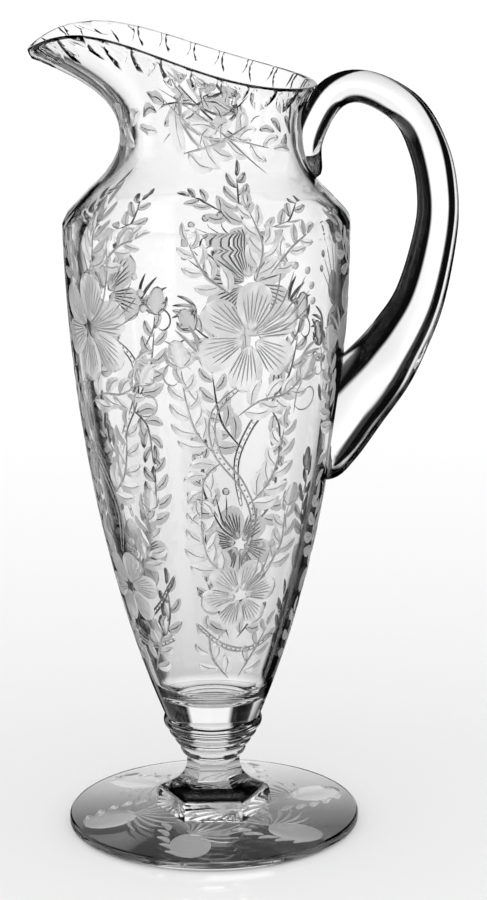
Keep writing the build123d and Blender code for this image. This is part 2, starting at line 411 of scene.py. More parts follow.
def drawn_up(name, sides, levels, turn, crease):
    """A closed piece drawn up from a flat polygon through levels, each a radius and a height.

    Its two ends are fused to its neighbours, and edges sharper than the crease stay crisp.
    """
    radius, base = levels[0]
    bpy.ops.mesh.primitive_circle_add(vertices=sides, radius=radius * MM, fill_type="NGON",
                                      location=(0, 0, base * MM), rotation=(0, 0, turn))
    piece = bpy.context.object
    piece.name = name
    bpy.ops.object.transform_apply(location=True, rotation=True, scale=True)
    bpy.ops.object.mode_set(mode="EDIT")
    bpy.ops.mesh.select_all(action="SELECT")
    for (r0, z0), (r1, z1) in zip(levels, levels[1:]):
        bpy.ops.mesh.extrude_region_move(TRANSFORM_OT_translate={"value": (0, 0, (z1 - z0) * MM)})
        bpy.ops.transform.resize(value=(r1 / r0, r1 / r0, 1), center_override=(0, 0, z1 * MM))
    bpy.ops.object.mode_set(mode="OBJECT")
    face_outward(piece)
    for material in (CLEAR, SATIN, FUSED):
        piece.data.materials.append(material)
    for face in piece.data.polygons:
        face.material_index = FUSED_SLOT if len(face.vertices) > 4 else CLEAR_SLOT
    bpy.ops.object.shade_smooth_by_angle(angle=crease)
    return piece


flat_share = cos(pi / 6)
flange_flat = FLANGE_CORNER * flat_share
neck_flat = PEDESTAL_NECK * flat_share
hollow = (flange_flat - neck_flat) * PEDESTAL_HOLLOW
facet_radii = [flange_flat, flange_flat, neck_flat, neck_flat]
facet_heights = [FLANGE_HEIGHT - 0.4, FLANGE_HEIGHT + hollow, FLANGE_HEIGHT + 0.4 * hollow,
                 PEDESTAL_TOP]
pedestal_levels = [(PEDESTAL_CORNER, PEDESTAL_BASE), (FLANGE_CORNER + 0.3, FLANGE_HEIGHT - 1.6)]
pedestal_levels += [(bezier(facet_radii, k / FACET_STEPS) / flat_share,
                     bezier(facet_heights, k / FACET_STEPS)) for k in range(FACET_STEPS + 1)]
pedestal = drawn_up("six_sided_pedestal", 6, pedestal_levels, turn=radians(30), crease=radians(28))
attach(pedestal, "root")
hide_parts("hexagonal_pedestal")

# Knop: collar, three stepped rings and a short stem, turned from one gather of clear glass.
# The collar carries the bowl, and the stem stands on the pedestal.

KNOP_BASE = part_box("ringed_knop")[0].z / MM
KNOP_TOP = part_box("ringed_knop")[1].z / MM
COLLAR_RADIUS = 20.3
STEM_RADIUS = 10.0
STEM_HEIGHT = 3.6
RING_COUNT = 3
RING_HEIGHT = 3.5
LOWEST_RING = 13.5
RING_STEP = 0.8
SEAT_INSET = 0.7
BEAD_POINTS = 9


def arc_through(start, middle, end, count):
    """Points of the circular arc through three points, the start left out."""
    (ax, ay), (bx, by), (cx, cy) = start, middle, end
    d = 2 * (ax * (by - cy) + bx * (cy - ay) + cx * (ay - by))
    aa, bb, cc = ax**2 + ay**2, bx**2 + by**2, cx**2 + cy**2
    centre = Vector((aa * (by - cy) + bb * (cy - ay) + cc * (ay - by),
                     aa * (cx - bx) + bb * (ax - cx) + cc * (bx - ax))) / d
    a, b, c = (Vector(p) - centre for p in (start, middle, end))
    swing = -a.angle_signed(b) - b.angle_signed(c)
    return [centre + Matrix.Rotation(swing * k / count, 2) @ a for k in range(1, count + 1)]


ring_gain = (COLLAR_RADIUS - LOWEST_RING) / RING_COUNT
ring_base = KNOP_BASE + STEM_HEIGHT
knop_outline = [Vector((STEM_RADIUS, KNOP_BASE)), Vector((STEM_RADIUS, ring_base - STEM_HEIGHT / 2))]
for index in range(RING_COUNT + 1):
    radius = LOWEST_RING + ring_gain * index
    top = KNOP_TOP if index == RING_COUNT else ring_base + RING_HEIGHT * (index + 1)
    corner = knop_outline[-1]
    shelf = (radius - SEAT_INSET, top)
    knop_outline += arc_through(corner, (radius, (corner.y + 2 * top) / 3), shelf, BEAD_POINTS)
    if index < RING_COUNT:
        knop_outline.append(Vector((radius + ring_gain - RING_STEP * 2, top)))
knop = drawn_up("turned_knop", 96, knop_outline, turn=0.0, crease=radians(40))
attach(knop, "root")
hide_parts("ringed_knop")

# Bowl, its form: clear glass blown in one piece, with a tall body, a sloping shoulder and a
# narrow neck. The mouth is sheared to its rising rim, drawn out to the lip and fire-polished.

BOWL_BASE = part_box("bowl")[0].z / MM
BOWL_SEAT = COLLAR_RADIUS - SEAT_INSET
BODY_RADIUS = 57.4
BODY_HEIGHT = 208.0
BODY_FOOT_SPREAD = 32.0
BODY_FOOT_RISE = 77.6
BODY_TOP_STRAIGHT = 38.0
SHOULDER_ROUND = 8.0
SHOULDER_INSET = 11.3
SHOULDER_HEIGHT = 12.0
NECK_HEIGHT = 21.0
NECK_RADIUS = 36.35
NECK_SHIFT = 2.55
RIM_BACK_REACH = 44.6
LIP_REACH = 69.9
RIM_HALF_WIDTH = 41.0
RIM_SWELL = 0.30
RIM_CONTROL_HEIGHTS = (19.3, 23.6, 27.6, 56.4, 34.0)
MOUTH_FLARE = 2.3
LIP_UNDERCUT = 3.0
LIP_TIP_RADIUS = 24.0
WALL = 3.4
LIP_THICKNESS = 4.9
FLOOR_THICKNESS = 9.0
FLOOR_ROUND = 12.0
RIM_ROUND = 0.9
COLUMNS = 180
NECK_ROWS = 24
SEAM = pi
SHEET_RADIUS = 50.0
SHEET_WIDE = 2 * pi * SHEET_RADIUS
BODY_SPAN = BODY_HEIGHT + SHOULDER_HEIGHT
NECK_SPAN = 50.0
SHEET_TALL = BODY_SPAN + NECK_SPAN

shoulder_z = BOWL_BASE + BODY_HEIGHT
throat_z = shoulder_z + SHOULDER_HEIGHT
neck_z = throat_z + NECK_HEIGHT
rim_controls = [neck_z + rise for rise in RIM_CONTROL_HEIGHTS]
mouth_centre = (RIM_BACK_REACH - LIP_REACH) / 2
mouth_half = (RIM_BACK_REACH + LIP_REACH) / 2
throat_radius = BODY_RADIUS - SHOULDER_INSET
side_radii = [BOWL_SEAT, BOWL_SEAT + BODY_FOOT_SPREAD, BODY_RADIUS, BODY_RADIUS]
side_heights = [BOWL_BASE, BOWL_BASE + BODY_FOOT_RISE, shoulder_z - BODY_TOP_STRAIGHT, shoulder_z]
cone_tilt = atan(SHOULDER_INSET / SHOULDER_HEIGHT)
round_reach = SHOULDER_ROUND * tan(cone_tilt / 2)
round_low = shoulder_z - round_reach
round_high = shoulder_z + round_reach * cos(cone_tilt)


def body_radius(z):
    """Outside radius of the body and shoulder at a height."""
    if z >= round_high:
        return BODY_RADIUS - (z - shoulder_z) * SHOULDER_INSET / SHOULDER_HEIGHT
    if z >= round_low:
        return BODY_RADIUS - SHOULDER_ROUND + sqrt(SHOULDER_ROUND**2 - (z - round_low) ** 2)
    low, high = 0.0, 1.0
    for _ in range(30):
        middle = (low + high) / 2
        if bezier(side_heights, middle) < z:
            low = middle
        else:
            high = middle
    return bezier(side_radii, low)


def rim_z(x):
    """Height of the rim line over the mirror plane."""
    return bezier(rim_controls, min(max((RIM_BACK_REACH - x) / (2 * mouth_half), 0.0), 1.0))


def mouth_point(angle, z, inset, lip_inset, undercut):
    """A point of the neck's or mouth's wall at an angle round the neck."""
    turn = cos(angle)
    radius = NECK_RADIUS - inset
    if z <= neck_z:
        drop = (neck_z - z) / NECK_HEIGHT
        radius += drop**2 * (throat_radius - NECK_RADIUS)
        return Vector((NECK_SHIFT * (1 - drop**2) + radius * turn, radius * sin(angle), z))
    lip = (1 - turn) / 2
    rim_inset = inset + (lip_inset - inset) * lip**4
    rim_x = mouth_centre + (mouth_half - rim_inset) * turn
    rim_y = (RIM_HALF_WIDTH - inset) * sin(angle) * (1 + RIM_SWELL * turn)
    top = rim_z(mouth_centre + mouth_half * turn) - undercut * lip**8
    share = (z - neck_z) / (top - neck_z)
    flare = share**MOUTH_FLARE if share < 1 else 1 + MOUTH_FLARE * (share - 1)
    neck_x = NECK_SHIFT + radius * turn
    neck_y = radius * sin(angle)
    return Vector((neck_x + (rim_x - neck_x) * flare, neck_y + (rim_y - neck_y) * flare, z))


def outer_at(angle, z):
    """A point of the outer wall."""
    if z < throat_z:
        r = body_radius(z)
        return Vector((r * cos(angle), r * sin(angle), z))
    return mouth_point(angle, z, 0.0, 0.0, LIP_UNDERCUT)


def inner_at(angle, z):
    """A point of the wall of the hollow."""
    if z < throat_z:
        r = body_radius(z) - WALL
        return Vector((r * cos(angle), r * sin(angle), z))
    return mouth_point(angle, z, WALL, LIP_THICKNESS, 0.0)


def edge_z(surface, angle):
    """Height at which a wall meets the sheared rim or the rounded end of the lip."""
    low, high = neck_z, neck_z + 50.0
    end = -LIP_REACH + LIP_TIP_RADIUS
    for _ in range(30):
        middle = (low + high) / 2
        p = surface(angle, middle)
        past_lip = p.x < end and hypot(p.x - end, p.y) > LIP_TIP_RADIUS
        if middle > rim_z(p.x) or past_lip:
            high = middle
        else:
            low = middle
    return low


angles = [SEAM + 2 * pi * k / COLUMNS for k in range(COLUMNS)]
outer_edge = [edge_z(outer_at, a) for a in angles]
inner_edge = [edge_z(inner_at, a) for a in angles]


def edge_at(angle):
    """Height of the outer wall's end at an angle, between the columns."""
    place = ((angle - SEAM) / (2 * pi)) % 1.0 * COLUMNS
    k = int(place) % COLUMNS
    share = place - int(place)
    return outer_edge[k] * (1 - share) + outer_edge[(k + 1) % COLUMNS] * share


def sheet_point(u, v):
    """The bowl's outer wall, from a plane sheet: u round it, v up it."""
    angle = SEAM + u / SHEET_RADIUS
    if v <= BODY_SPAN:
        return outer_at(angle, BOWL_BASE + v)
    share = (v - BODY_SPAN) / NECK_SPAN
    return outer_at(angle, throat_z + share * (edge_at(angle) - RIM_ROUND - throat_z))


def sheet_normal(u, v):
    """The outer wall's smooth normal at a point of the sheet."""
    step = 0.05
    low = max(v - step, 0.0)
    high = min(v + step, SHEET_TALL)
    across = sheet_point(u + step, v) - sheet_point(u - step, v)
    up = sheet_point(u, high) - sheet_point(u, low)
    return across.cross(up).normalized()


# Handle: a rod of clear glass, applied hot low on the body as a thick gather, drawn up and over
# in a loop, and pressed on the neck under the rim, where its tail is snipped off.

GRIP_REACH = 91.8
CROWN_RISE = 17.7
LOWER_DROP = 67.0
ROOT_HEIGHT = 118.0
ROOT_DEPTH = 3.5
ROOT_ENTRY = 14.6
ROOT_ENTRY_RISE = 27.5
TAIL_THICKNESS = 12.8
TAIL_BREADTH = 15.0
CROWN_THICKNESS = 13.2
GRIP_THICKNESS = 16.6
LOWER_THICKNESS = 20.4
ROOT_THICKNESS = 32.0
ROOT_BREADTH = 24.0
ROOT_TIP_DROP = 7.6
ROD_SIDES = 40
TAIL_ROUND = 0.5
STEPS_PER_SPAN = 7
FORM_BASE = 60.0
FORM_STEP = 2.0
FORM_ROWS = 78


def handle_stations():
    """Centre, thickness and breadth of the rod from its tail to its root."""
    neck_x = NECK_SHIFT + NECK_RADIUS
    root_z = BOWL_BASE + ROOT_HEIGHT
    root_x = body_radius(root_z) - ROOT_DEPTH
    entry_z = root_z + ROOT_ENTRY_RISE
    entry_x = body_radius(entry_z) + ROOT_ENTRY

    def out(share):
        return neck_x + share * (GRIP_REACH - neck_x)

    def over(share):
        return neck_z + share * CROWN_RISE

    def under(share):
        return neck_z - share * LOWER_DROP

    def blend(start, end, share):
        return start + share * (end - start)

    lower_x = out(0.865)
    return [
        (out(0.03), under(0.275), TAIL_THICKNESS, TAIL_BREADTH),
        (out(0.022), under(0.045), TAIL_THICKNESS, TAIL_BREADTH),
        (out(0.193), over(0.80), CROWN_THICKNESS, CROWN_THICKNESS),
        (out(0.45), over(1.0), CROWN_THICKNESS, CROWN_THICKNESS),
        (out(0.77), over(0.47), blend(CROWN_THICKNESS, GRIP_THICKNESS, 0.35), CROWN_THICKNESS),
        (out(0.94), under(0.13), blend(CROWN_THICKNESS, GRIP_THICKNESS, 0.8), GRIP_THICKNESS),
        (out(1.0), under(0.40), GRIP_THICKNESS, GRIP_THICKNESS),
        (out(0.975), under(0.65), blend(GRIP_THICKNESS, LOWER_THICKNESS, 0.3), GRIP_THICKNESS),
        (lower_x, under(1.0), LOWER_THICKNESS, blend(GRIP_THICKNESS, ROOT_BREADTH, 0.3)),
        (blend(lower_x, entry_x, 0.5), blend(under(1.0), entry_z, 0.57),
         blend(LOWER_THICKNESS, ROOT_THICKNESS, 0.35), blend(GRIP_THICKNESS, ROOT_BREADTH, 0.6)),
        (entry_x, entry_z, blend(LOWER_THICKNESS, ROOT_THICKNESS, 0.7), ROOT_BREADTH),
        (blend(entry_x, root_x, 0.55), blend(entry_z, root_z, 0.5), ROOT_THICKNESS, ROOT_BREADTH),
        (root_x, root_z, ROOT_THICKNESS, ROOT_BREADTH),
        (root_x - 0.57 * ROOT_TIP_DROP, root_z - ROOT_TIP_DROP,
         0.88 * ROOT_THICKNESS, 0.92 * ROOT_BREADTH),
        (root_x - 1.1 * ROOT_TIP_DROP, root_z - 1.5 * ROOT_TIP_DROP,
         0.56 * ROOT_THICKNESS, 0.6 * ROOT_BREADTH),
    ]


def rod_ring(place):
    """Points round the rod at a place along its stations, with the snipped tail rounded."""
    x, z, thickness, breadth = along(stations, place)
    ahead = along(stations, min(place + 0.02, len(stations) - 1))
    behind = along(stations, max(place - 0.02, 0))
    run = Vector((ahead[0] - behind[0], 0, ahead[1] - behind[1])).normalized()
    across = Vector((run.z, 0, -run.x))
    if place < TAIL_ROUND:
        snip = sqrt(1 - (1 - place / TAIL_ROUND) ** 2) * 0.5 + 0.5
        thickness, breadth = thickness * snip, breadth * snip
    points = []
    for k in range(ROD_SIDES):
        turn = 2 * pi * k / ROD_SIDES
        p = Vector((x, breadth / 2 * sin(turn), z)) + across * (thickness / 2 * cos(turn))
        points.append(Vector((min(p.x, handle_reach), p.y, p.z)))
    return points


def closed_tube(name, rings):
    """A closed mesh over rings of points, with a fan at each end."""
    count = len(rings[0])
    points = [p for ring_points in rings for p in ring_points]
    rows = [list(range(level * count, (level + 1) * count)) for level in range(len(rings))]
    faces = [face for upper, lower in zip(rows, rows[1:]) for face in band(upper, lower)]
    for row, ring_points in ((rows[0][::-1], rings[0]), (rows[-1], rings[-1])):
        faces += fan(row, len(points))
        points.append(sum(ring_points, Vector()) / count)
    return make_piece(name, points, faces)


stations = handle_stations()
handle_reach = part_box("handle")[1].x / MM
rod_steps = (len(stations) - 1) * STEPS_PER_SPAN
handle = closed_tube("applied_handle", [rod_ring(k / STEPS_PER_SPAN) for k in range(rod_steps + 1)])
form_rings = [[outer_at(a, BOWL_BASE + FORM_BASE + FORM_STEP * k) for a in angles]
              for k in range(FORM_ROWS)]
for share in range(1, NECK_ROWS + 1):
    form_rings.append([outer_at(a, throat_z + (outer_edge[k] - throat_z) * share / NECK_ROWS)
                       for k, a in enumerate(angles)])
form = closed_tube("bowl_form", form_rings)
for polygon in form.data.polygons:
    polygon.material_index = FUSED_SLOT
face_outward(form)
face_outward(handle)
# the bowl's form is cut out of the rod, and the faces that it leaves are fused
trim = handle.modifiers.new("trim", "BOOLEAN")
trim.operation = "DIFFERENCE"
trim.solver = "EXACT"
trim.object = form
bpy.ops.object.modifier_apply(modifier="trim")
bpy.data.objects.remove(form)
bpy.ops.object.shade_smooth_by_angle(angle=radians(40))
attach(handle, "root")
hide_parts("handle")

# Bowl, its cuts: thumbprints ground under the rim and polished, and flowers, leaves and scrolls
# cut with the engraver's wheel round the body and neck and left satin. They are carved in the
# outer wall, and where the handle was pressed on, the glass is fused.

FLOWER_COUNT = 5
FIRST_FLOWER = radians(-72.5)
NECK_SPRAYS = 4
FIRST_NECK_SPRAY = radians(-84)
THUMBPRINT_COUNT = 26
THUMBPRINT_HEIGHT = 15.0
THUMBPRINT_DEPTH = 0.85
SHEET_MARGIN = 0.3
RIM_MARGIN = 13.0
SHEET_ROWS = 68
SHEET_COLUMNS = 72
FLOOR_STEPS = 8


def sheet_place(p):
    """Where a point of the bowl's outer wall lies on the plane sheet."""
    if p.z < throat_z:
        angle = atan2(p.y, p.x)
    else:
        drop = min(max((neck_z - p.z) / NECK_HEIGHT, 0.0), 1.0)
        angle = atan2(p.y, p.x - NECK_SHIFT * (1 - drop**2))
        for _ in range(20):
            spot = outer_at(angle, p.z)
            along_wall = outer_at(angle + 0.001, p.z) - spot
            angle += 0.001 * (p - spot).dot(along_wall) / along_wall.length_squared
    u = ((angle - SEAM) % (2 * pi)) * SHEET_RADIUS
    if p.z < throat_z:
        return Vector((u, p.z - BOWL_BASE))
    share = (p.z - throat_z) / (edge_at(angle) - RIM_ROUND - throat_z)
    return Vector((u, BODY_SPAN + share * NECK_SPAN))


def joint_loops(piece):
    """Outlines of a piece's fused faces, as loops on the bowl's sheet."""
    mesh = piece.data
    uses = {}
    for face in mesh.polygons:
        for key in face.edge_keys:
            uses.setdefault(key, []).append(face.material_index == FUSED_SLOT)
    ahead = {}
    for (a, b), joined in uses.items():
        if len(joined) == 2 and joined[0] != joined[1]:
            ahead.setdefault(a, []).append(b)
            ahead.setdefault(b, []).append(a)
    loops, left = [], set(ahead)
    while left:
        loop = [left.pop()]
        while True:
            onward = [k for k in ahead[loop[-1]] if k in left]
            if not onward:
                break
            loop.append(onward[0])
            left.discard(onward[0])
        places = [sheet_place(mesh.vertices[k].co / MM) for k in loop]
        kept = [places[0]]
        for place in places[1:]:
            if (place - kept[-1]).length > 0.3:
                kept.append(place)
        if len(kept) > 8:
            loops.append(kept)
    return loops


def leaf(x, y, turn, length, width, bend=0.12):
    """A broad satin cut with a midrib."""
    blade = placed([(0, 0), (length * 0.5, length * bend), (length, 0)], x, y, turn)
    rib = placed([(length * 0.06, 0), (length * 0.5, length * bend),
                  (length * 0.86, length * bend * 0.4)], x, y, turn)
    return [wheel_cut(blade, width, 0.4, steps=6, shape=0.8), wheel_cut(rib, 0.5, 0.75, steps=6)]


def flower(size, petals, turn):
    """Broad hollow petals with fine rays cut in each."""
    cuts = []
    for k in range(petals):
        run = turn + 2 * pi * k / petals
        blade = placed([(size * 0.12, 0), (size * 0.55, size * 0.05), (size, 0)], 0, 0, run)
        cuts.append(wheel_cut(blade, size * 0.64, 0.5, steps=12, shape=0.55, lean=1.5, hollow=True))
        for j in range(-3, 4):
            ray = placed([(size * 0.2, 0), (size * (0.92 - 0.05 * abs(j)), 0)], 0, 0, run + j * 0.12)
            cuts.append(wheel_cut(ray, 0.7, 0.8, steps=4))
    return cuts


def stamens(count, reach, turn):
    """Long curved threads with a round anther at each end."""
    cuts = []
    for k in range(count):
        run = turn + 0.19 * (k - (count - 1) / 2)
        long = reach * (1 - 0.06 * abs(k - (count - 1) / 2))
        thread = placed([(2, 0), (long * 0.5, -long * 0.11), (long, 0)], 0, 0, run)
        anther = placed([(long, 0), (long + 1.6, 0), (long + 3.2, 0)], 0, 0, run + 0.02)
        cuts.append(wheel_cut(thread, 0.8, 0.7, steps=10))
        cuts.append(wheel_cut(anther, 3.0, 0.6, steps=6, shape=0.5, hollow=True))
    return cuts


def spray(knots, leaves, size):
    """A stem with leaves on both sides that get smaller towards its tip."""
    last = len(knots) - 1
    cuts = [wheel_cut(knots, 1.0, 0.6, steps=12)]
    for k in range(leaves):
        place = last * (0.14 + 0.84 * k / leaves)
        x, y = along(knots, place)
        x1, y1 = along(knots, place + 0.02)
        side = 1 if k % 2 else -1
        length = size * (1 - 0.4 * k / leaves)
        cuts += leaf(x, y, atan2(y1 - y, x1 - x) + side * 0.65, length, length * 0.44, 0.12 * side)
    x, y = along(knots, last)
    x1, y1 = along(knots, last - 0.05)
    return cuts + leaf(x, y, atan2(y - y1, x - x1), size * 0.7, size * 0.24)


def scroll(knots, width):
    """A stem of two fine lines with a row of dots between them."""
    last = len(knots) - 1
    guide = wheel_cut(knots, width, 0, steps=26, shape=0.25)
    cuts = [wheel_cut(cut_side(guide, side), 0.9, 0.6, steps=26, shape=0.4) for side in (1, -1)]
    dots = int(6 * last)
    for k in range(1, dots):
        x, y = along(knots, last * k / dots)
        cuts.append(wheel_cut([(x - 0.5, y), (x, y), (x + 0.5, y)], 0.9, 0.5, steps=4, shape=0.5,
                              satin=False))
    return cuts


def tendril(x, y, turn, size):
    """A fine line that curls up at its end."""
    knots = []
    for k in range(9):
        radius = size * (1.9 - 0.19 * k) * 0.45
        knots.append((radius * cos(0.62 * k), radius * sin(0.62 * k)))
    return [wheel_cut(placed(knots, x, y, turn), 0.8, 0.55, steps=24)]


def bud(x, y, turn, size):
    """A hollow bud on a short stem, between two narrow leaves."""
    stem = placed([(-size * 1.2, -size * 0.3), (-size * 0.5, 0), (0, 0)], x, y, turn)
    body = placed([(0, 0), (size * 0.5, 0), (size, 0)], x, y, turn)
    cuts = [wheel_cut(stem, 0.8, 0.5),
            wheel_cut(body, size * 0.62, 0.7, steps=10, shape=0.6, hollow=True)]
    for side in (1, -1):
        cuts += leaf(x, y, turn + side * 0.5, size * 0.8, size * 0.2, side * 0.2)
    return cuts


def on_bowl(cuts, angle, height):
    """Cuts drawn round an origin, moved to their place on the bowl's sheet."""
    radius = body_radius(BOWL_BASE + height) if height < BODY_SPAN else NECK_RADIUS + 3
    start = ((angle - SEAM) % (2 * pi)) * radius
    return [dict(cut, radius=radius, slant=0.0,
                 centre=[(x + start, y + height) for x, y in cut["centre"]]) for cut in cuts]


def grass(x, y, turn, size):
    """Long curved blades that spread from one point."""
    cuts = []
    for k in range(5):
        swing = turn + 0.3 * (k - 2)
        long = size * (1 - 0.1 * abs(k - 2))
        knots = [(0, 0), (long * 0.5, long * 0.12 * (k - 2)), (long, long * 0.15 * (k - 2))]
        cuts.append(wheel_cut(placed(knots, x, y, swing), 1.6, 0.5, steps=10, lean=0.8))
    return cuts


def body_motif():
    """One flower with its stem, leaves and smaller flower: pairs of cuts and heights."""
    return [
        (flower(22, 6, radians(20)) + stamens(5, 33, radians(42)), 170),
        (spray([(2, -8), (5, 4), (3, 18)], 8, 12), 200),
        (spray([(-6, -10), (-18, 0), (-24, 12)], 7, 11), 196),
        (spray([(8, -8), (18, 2), (26, 6)], 6, 10), 202),
        (grass(-20, -12, radians(160), 15) + grass(24, -16, radians(-20), 12), 176),
        (scroll([(-3, 33), (-13, 22), (-12, 6), (-2, -8), (4, -24), (0, -42)], 2.4), 118),
        (spray([(-12, -8), (-21, 4), (-25, 22)], 9, 13), 130),
        (spray([(0, -12), (11, 0), (15, 20)], 9, 13), 112),
        (spray([(-5, 4), (4, 10), (16, 12), (26, 20)], 9, 12), 134),
        (spray([(-10, 8), (-17, 0), (-18, -16)], 7, 11), 112),
        (tendril(-29, 4, radians(30), 9) + tendril(27, -6, radians(200), 9), 150),
        (bud(-26, 16, radians(100), 12) + bud(24, 8, radians(60), 11), 142),
        (bud(20, 0, radians(80), 10), 98),
        (flower(16, 6, radians(5)) + stamens(3, 22, radians(60)), 62),
        (spray([(-6, -6), (-14, 4), (-16, 20)], 8, 12), 76),
        (spray([(10, 2), (16, 12), (16, 26)], 7, 11), 70),
        (scroll([(-16, 8), (-6, -2), (6, -5), (18, 0)], 1.6), 42),
        (spray([(-2, -8), (-9, 2), (-10, 15)], 6, 10) + spray([(2, -8), (8, 4), (12, 14)], 6, 10), 32),
    ]


def engraving(loops):
    """The wheel's cuts round the body and neck, clear of the rim, the seam and the handle."""
    cuts = []
    for k in range(FLOWER_COUNT):
        angle = FIRST_FLOWER + 2 * pi * k / FLOWER_COUNT
        for motif, height in body_motif():
            cuts += on_bowl(motif, angle, height)
    for k in range(NECK_SPRAYS):
        angle = FIRST_NECK_SPRAY + 2 * pi * k / NECK_SPRAYS
        cuts += on_bowl(spray([(-22, 9), (-9, -2), (7, -1), (24, -3)], 8, 15), angle, 245)
        cuts += on_bowl(spray([(-17, -8), (-2, -2), (13, 9)], 6, 12), angle, 243)
        cuts += on_bowl([wheel_cut([(-20, 12), (0, 2), (20, -13)], 0.9, 0.6, steps=14)], angle, 244)
        cuts += on_bowl(grass(-16, 0, radians(10), 15), angle, 246)
    kept = []
    for cut in cuts:
        outline = [(x * SHEET_RADIUS / cut["radius"], y)
                   for x, y in cut_side(cut, 1) + cut_side(cut, -1)]
        inside = all(1 < u < SHEET_WIDE - 1 and 2 < v < SHEET_TALL - RIM_MARGIN for u, v in outline)
        clear = not any(min(p.x for p in loop) - 2 < u < max(p.x for p in loop) + 2
                        and min(p.y for p in loop) - 2 < v < max(p.y for p in loop) + 2
                        for loop in loops for u, v in outline)
        if inside and clear:
            kept.append(cut)
    return kept


def thumbprints():
    """Polished hollows side by side under the rim, evenly spaced along it and square to it."""
    steps = 6 * COLUMNS
    rim = [sheet_point(SHEET_WIDE * k / steps, SHEET_TALL) for k in range(steps + 1)]
    runs = [0.0]
    for start, end in zip(rim, rim[1:]):
        runs.append(runs[-1] + (end - start).length)
    pitch = runs[-1] / THUMBPRINT_COUNT
    bounds = [min(range(steps + 1), key=lambda k: abs(runs[k] - pitch * n))
              for n in range(THUMBPRINT_COUNT + 1)]
    cuts = []
    for start, end in zip(bounds, bounds[1:]):
        left, right = (SHEET_WIDE * k / steps for k in (start, end))
        middle = (left + right) / 2
        up = sheet_point(middle, SHEET_TALL) - sheet_point(middle, SHEET_TALL - 1)
        across = sheet_point(middle + 1, SHEET_TALL) - sheet_point(middle, SHEET_TALL)
        slant = -up.dot(across) / across.length_squared
        height = THUMBPRINT_HEIGHT / (up + across * slant).length
        y = SHEET_TALL - 0.22 * height
        gap = 0.02 * (right - left)
        cut = wheel_cut([(left + gap, y), (middle, y), (right - gap, y)], height, THUMBPRINT_DEPTH,
                        steps=14, shape=0.75, hollow=True, satin=False)
        cuts.append(dict(cut, radius=SHEET_RADIUS, slant=slant))
    return cuts


def carve(loops, cuts):
    """The bowl's carved outer wall.

    Gives its points with their smooth normals, its faces with their slots and corner normals,
    and the rows of points along its seat and its rim.
    """
    side = [SHEET_TALL * k / SHEET_ROWS for k in range(SHEET_ROWS + 1)]
    border = [(SHEET_WIDE * k / COLUMNS, 0) for k in range(COLUMNS)]
    border += [(SHEET_WIDE, v) for v in side]
    border += [(SHEET_WIDE * k / COLUMNS, SHEET_TALL) for k in range(COLUMNS - 1, -1, -1)]
    border += [(0, v) for v in side[-2:0:-1]]
    loose = [(SHEET_WIDE * (j + 0.5 * (i % 2)) / SHEET_COLUMNS, side[i])
             for i in range(1, SHEET_ROWS) for j in range(1, SHEET_COLUMNS)]

    def to_plane(cut, p):
        y = min(p[1], SHEET_TALL)
        u = p[0] * SHEET_RADIUS / cut["radius"] + cut["slant"] * (y - SHEET_TALL)
        return (min(max(u, SHEET_MARGIN), SHEET_WIDE - SHEET_MARGIN), y)

    flat, faces, over = carved_sheet(border, loops, loose, cuts, to_plane)
    first_cut = len(loops)
    inside = inner_strokes(len(flat), faces, over, first_cut)
    points, bases = [], []
    for (u, v), strokes in zip(flat, inside):
        depth = 0.0
        for k in strokes:
            cut = cuts[k]
            x = (u - cut["slant"] * (v - SHEET_TALL)) * cut["radius"] / SHEET_RADIUS
            depth = max(depth, cut_depth(cut, x, v))
        bases.append(sheet_normal(u, v))
        points.append(sheet_point(u, v) - bases[-1] * depth)
    # the sheet's two side edges are one line on the bowl
    left = {round(v, 3): k for k, (u, v) in enumerate(flat) if abs(u) < 1e-3}
    alias = [left[round(v, 3)] if abs(u - SHEET_WIDE) < 1e-3 else k
             for k, (u, v) in enumerate(flat)]
    faces = [[alias[k] for k in face] for face in faces]
    # satin cuts are flat-sided, polished ones are smooth within their own outline
    slots, facets, polished = [], [], {}
    for face, strokes in zip(faces, over):
        a, b, c = (points[k] for k in face)
        across = (b - a).cross(c - a)
        facets.append(across.normalized())
        kinds = {cuts[k - first_cut]["satin"] for k in strokes if k >= first_cut}
        if any(k < first_cut for k in strokes):
            slots.append(FUSED_SLOT)
        else:
            slots.append(SATIN_SLOT if True in kinds else CLEAR_SLOT)
        if kinds == {False}:
            for k in face:
                key = (k, min(strokes))
                polished[key] = polished.get(key, Vector()) + across
    normals = []
    for face, strokes, slot, facet in zip(faces, over, slots, facets):
        for k in face:
            if slot == SATIN_SLOT:
                normals.append(facet)
            elif strokes and (k, min(strokes)) in polished:
                normals.append(polished[(k, min(strokes))].normalized())
            else:
                normals.append(bases[k])
    rows = []
    for height in (0, SHEET_TALL):
        found = {round(u / SHEET_WIDE * COLUMNS, 2): k
                 for k, (u, v) in enumerate(flat) if abs(v - height) < 1e-3}
        rows.append([found[k] for k in range(COLUMNS)])
    return points, bases, faces, slots, normals, rows


